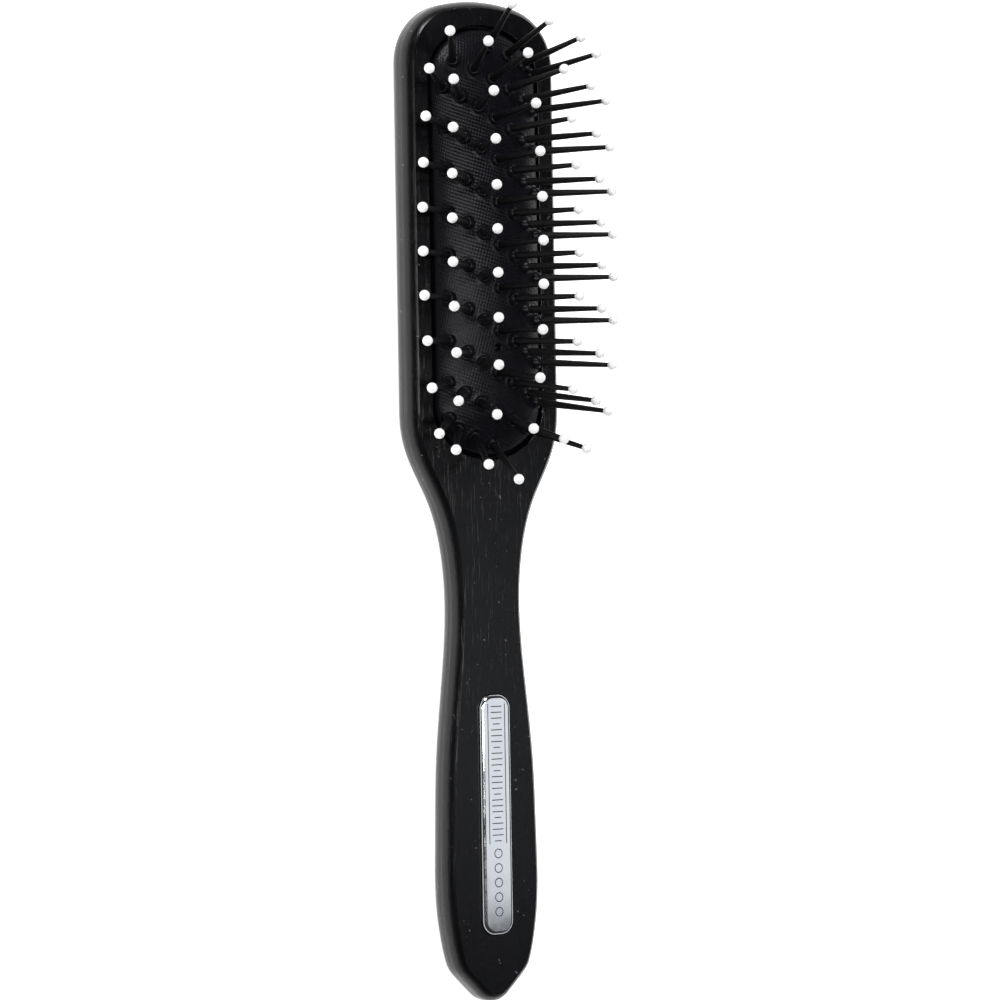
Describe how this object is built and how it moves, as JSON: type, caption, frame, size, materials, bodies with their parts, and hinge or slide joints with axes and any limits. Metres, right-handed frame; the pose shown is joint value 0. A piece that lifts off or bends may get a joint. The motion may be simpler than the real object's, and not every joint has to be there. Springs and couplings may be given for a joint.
{
  "type": "cushion hair brush",
  "caption": "Slim paddle hair brush: black lacquered wooden body, domed rubber cushion with slanted columns of ball-tipped pins, and a bright badge let into the grip.",
  "frame": {"origin": "centre of the bounding box's underside, on the flat back that the brush rests on", "axes": "+Y from the grip towards the head, +Z the way the middle pins point, +X to the right seen from the pins with the head up"},
  "size_m": [0.0542, 0.228, 0.0335],
  "materials": {
    "black_lacquer": "satin black lacquer over wood, fine grain and pores showing through",
    "cushion_rubber": "matt black natural rubber with a fine moulded mesh texture",
    "pin_nylon": "glossy black nylon",
    "tip_resin": "smooth off-white ball",
    "badge_chrome": "polished chrome plate",
    "badge_inlay": "dark enamel lines",
    "glue": "cured contact glue",
    "tape": "double-sided mounting tape"
  },
  "bodies": {
    "body": {"handle_body": "black_lacquer", "cushion_adhesive": "glue", "cushion_pad": "cushion_rubber", "badge_plate": "badge_chrome", "badge_inlay": "badge_inlay", "badge_tape": "tape"},
    "column_a": {"pins_a": "pin_nylon", "tips_a": "tip_resin"},
    "column_b": {"pins_b": "pin_nylon", "tips_b": "tip_resin"},
    "column_c": {"pins_c": "pin_nylon", "tips_c": "tip_resin"},
    "column_d": {"pins_d": "pin_nylon", "tips_d": "tip_resin"},
    "column_e": {"pins_e": "pin_nylon", "tips_e": "tip_resin"},
    "column_f": {"pins_f": "pin_nylon", "tips_f": "tip_resin"},
    "column_g": {"pins_g": "pin_nylon", "tips_g": "tip_resin"}
  },
  "joints": [
    {"name": "column_a_press", "type": "slide", "parent": "body", "child": "column_a", "axis": [0, 0, -1], "range_m": [0, 0.00148], "stiffness_N_per_m": 400},
    {"name": "column_b_press", "type": "slide", "parent": "body", "child": "column_b", "axis": [0, 0, -1], "range_m": [0, 0.00214], "stiffness_N_per_m": 400},
    {"name": "column_c_press", "type": "slide", "parent": "body", "child": "column_c", "axis": [0, 0, -1], "range_m": [0, 0.00246], "stiffness_N_per_m": 400},
    {"name": "column_d_press", "type": "slide", "parent": "body", "child": "column_d", "axis": [0, 0, -1], "range_m": [0, 0.0025], "stiffness_N_per_m": 400, "deforming": ["cushion_pad"]},
    {"name": "column_e_press", "type": "slide", "parent": "body", "child": "column_e", "axis": [0, 0, -1], "range_m": [0, 0.00246], "stiffness_N_per_m": 400},
    {"name": "column_f_press", "type": "slide", "parent": "body", "child": "column_f", "axis": [0, 0, -1], "range_m": [0, 0.00214], "stiffness_N_per_m": 400},
    {"name": "column_g_press", "type": "slide", "parent": "body", "child": "column_g", "axis": [0, 0, -1], "range_m": [0, 0.00148], "stiffness_N_per_m": 400}
  ],
  "couplings": [
    {"joint": "column_a_press", "follows": "column_d_press", "ratio": 0.572},
    {"joint": "column_b_press", "follows": "column_d_press", "ratio": 0.837},
    {"joint": "column_c_press", "follows": "column_d_press", "ratio": 0.962},
    {"joint": "column_e_press", "follows": "column_d_press", "ratio": 0.962},
    {"joint": "column_f_press", "follows": "column_d_press", "ratio": 0.837},
    {"joint": "column_g_press", "follows": "column_d_press", "ratio": 0.572}
  ]
}
